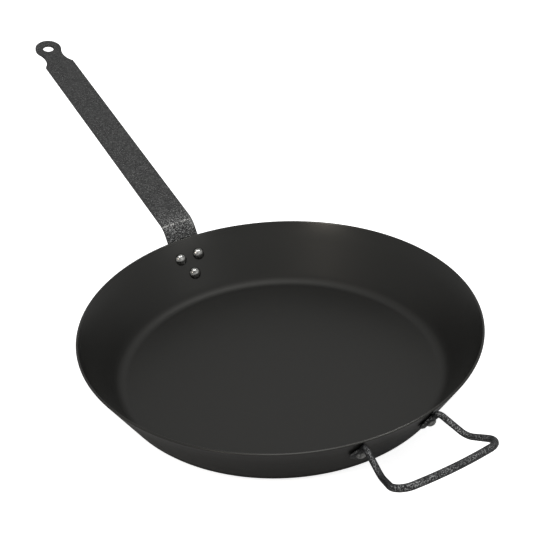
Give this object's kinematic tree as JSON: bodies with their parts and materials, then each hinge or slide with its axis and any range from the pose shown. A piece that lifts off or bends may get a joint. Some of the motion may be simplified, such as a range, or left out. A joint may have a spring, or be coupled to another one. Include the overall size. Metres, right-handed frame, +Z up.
{
  "type": "frying pan",
  "caption": "Round dark steel frying pan with sloping sides, a long flat riveted handle with a hanging eye and a riveted rod helper handle.",
  "frame": {"origin": "centre of the base's underside, where the pan stands", "axes": "+Z up; -X along the long handle, +X along the helper handle; the pan mirrors across the XZ plane"},
  "size_m": [0.7452, 0.36, 0.1659],
  "materials": {
    "pan_steel": "dark blued carbon steel, satin, with fine turned grain",
    "handle_coat": "grey hammertone coat",
    "helper_coat": "dark grey hammertone coat",
    "rivet_steel": "bright polished steel",
    "helper_rivet_steel": "dark oiled steel, worn bright on the dome"
  },
  "bodies": {
    "root": {"pan_body": "pan_steel", "long_handle": "handle_coat", "helper_handle": "helper_coat", "handle_rivet_left": "rivet_steel", "handle_rivet_right": "rivet_steel", "handle_rivet_lower": "rivet_steel", "helper_rivet_left": "helper_rivet_steel", "helper_rivet_right": "helper_rivet_steel"}
  },
  "joints": []
}
